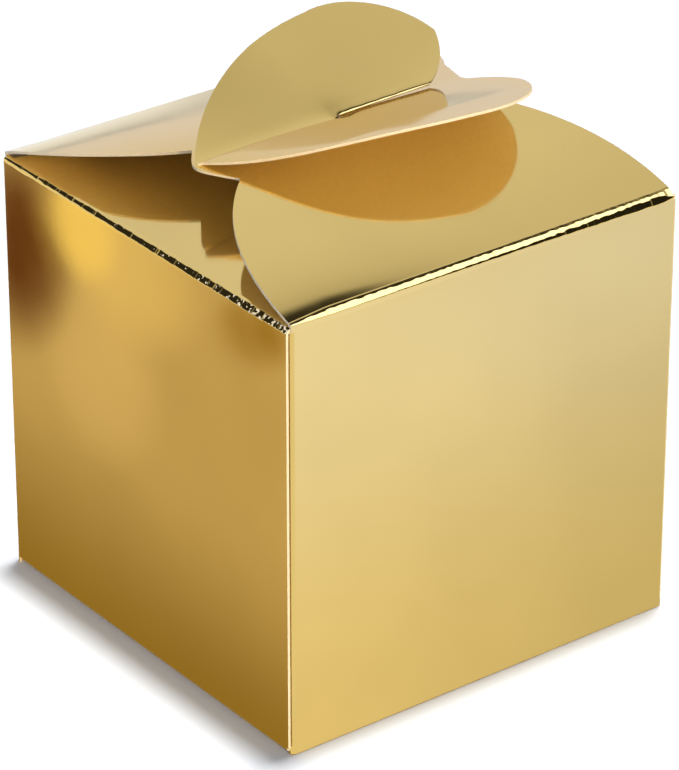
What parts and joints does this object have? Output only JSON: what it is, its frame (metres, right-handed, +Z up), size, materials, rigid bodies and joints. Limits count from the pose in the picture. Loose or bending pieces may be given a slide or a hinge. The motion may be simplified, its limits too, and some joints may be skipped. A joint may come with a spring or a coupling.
{
  "type": "favor box",
  "caption": "Square favor box of folded foil board: lid flaps ending in slit half hearts hook together on top, over dust flaps, and a tuck flap closes the bottom.",
  "frame": {"origin": "middle of the base, on the table", "axes": "+Z up, -Y towards the front wall, +X along the heart's axis from its tip to its lobes"},
  "size_m": [0.07, 0.07, 0.085],
  "materials": {
    "gold_foil_board": "mirror gold foil outside, white board inside and at the cut edges",
    "scored_fold": "gold foil, crackled along the score",
    "seam_adhesive": "dried glue"
  },
  "bodies": {
    "box": {"front_wall": "gold_foil_board", "rear_wall": "gold_foil_board", "left_wall": "gold_foil_board", "right_wall": "gold_foil_board", "seam_fold": "scored_fold", "front_right_fold": "scored_fold", "rear_right_fold": "scored_fold", "rear_left_fold": "scored_fold", "glue_flap": "gold_foil_board", "seam_glue": "seam_adhesive", "front_lid_fold": "scored_fold", "rear_lid_fold": "scored_fold", "left_dust_fold": "scored_fold", "right_dust_fold": "scored_fold", "bottom_fold": "scored_fold", "bottom_left_dust_fold": "scored_fold", "bottom_right_dust_fold": "scored_fold"},
    "front_lid": {"front_lid_flap": "gold_foil_board", "front_heart_half": "gold_foil_board"},
    "rear_lid": {"rear_lid_flap": "gold_foil_board", "rear_heart_half": "gold_foil_board"},
    "left_dust": {"left_dust_flap": "gold_foil_board"},
    "right_dust": {"right_dust_flap": "gold_foil_board"},
    "bottom": {"bottom_panel": "gold_foil_board", "tuck_fold": "scored_fold"},
    "tuck": {"tuck_flap": "gold_foil_board"},
    "bottom_left_dust": {"bottom_left_dust_flap": "gold_foil_board"},
    "bottom_right_dust": {"bottom_right_dust_flap": "gold_foil_board"}
  },
  "joints": [
    {"name": "front_lid_hinge", "type": "hinge", "parent": "box", "child": "front_lid", "pos_m": [0, -0.0346, 0.0686], "axis": [1, 0, 0], "range_deg": [0, 135], "deforming": ["front_heart_half"]},
    {"name": "rear_lid_hinge", "type": "hinge", "parent": "box", "child": "rear_lid", "pos_m": [0, 0.0346, 0.0686], "axis": [-1, 0, 0], "range_deg": [0, 135], "deforming": ["rear_heart_half"]},
    {"name": "left_dust_hinge", "type": "hinge", "parent": "box", "child": "left_dust", "pos_m": [-0.0346, 0, 0.068], "axis": [0, -1, 0], "range_deg": [0, 135]},
    {"name": "right_dust_hinge", "type": "hinge", "parent": "box", "child": "right_dust", "pos_m": [0.0346, 0, 0.068], "axis": [0, 1, 0], "range_deg": [0, 135]},
    {"name": "bottom_hinge", "type": "hinge", "parent": "box", "child": "bottom", "pos_m": [0, 0.0346, 0.0004], "axis": [1, 0, 0], "range_deg": [0, 120]},
    {"name": "tuck_hinge", "type": "hinge", "parent": "bottom", "child": "tuck", "pos_m": [0, -0.0339, 0.0004], "axis": [-1, 0, 0], "range_deg": [0, 20]},
    {"name": "bottom_left_dust_hinge", "type": "hinge", "parent": "box", "child": "bottom_left_dust", "pos_m": [-0.0346, 0, 0.0009], "axis": [0, -1, 0], "range_deg": [0, 80]},
    {"name": "bottom_right_dust_hinge", "type": "hinge", "parent": "box", "child": "bottom_right_dust", "pos_m": [0.0346, 0, 0.0009], "axis": [0, 1, 0], "range_deg": [0, 80]}
  ],
  "couplings": [
    {"joint": "rear_lid_hinge", "follows": "front_lid_hinge", "ratio": 1},
    {"joint": "left_dust_hinge", "follows": "front_lid_hinge", "ratio": 1},
    {"joint": "right_dust_hinge", "follows": "front_lid_hinge", "ratio": 1}
  ]
}
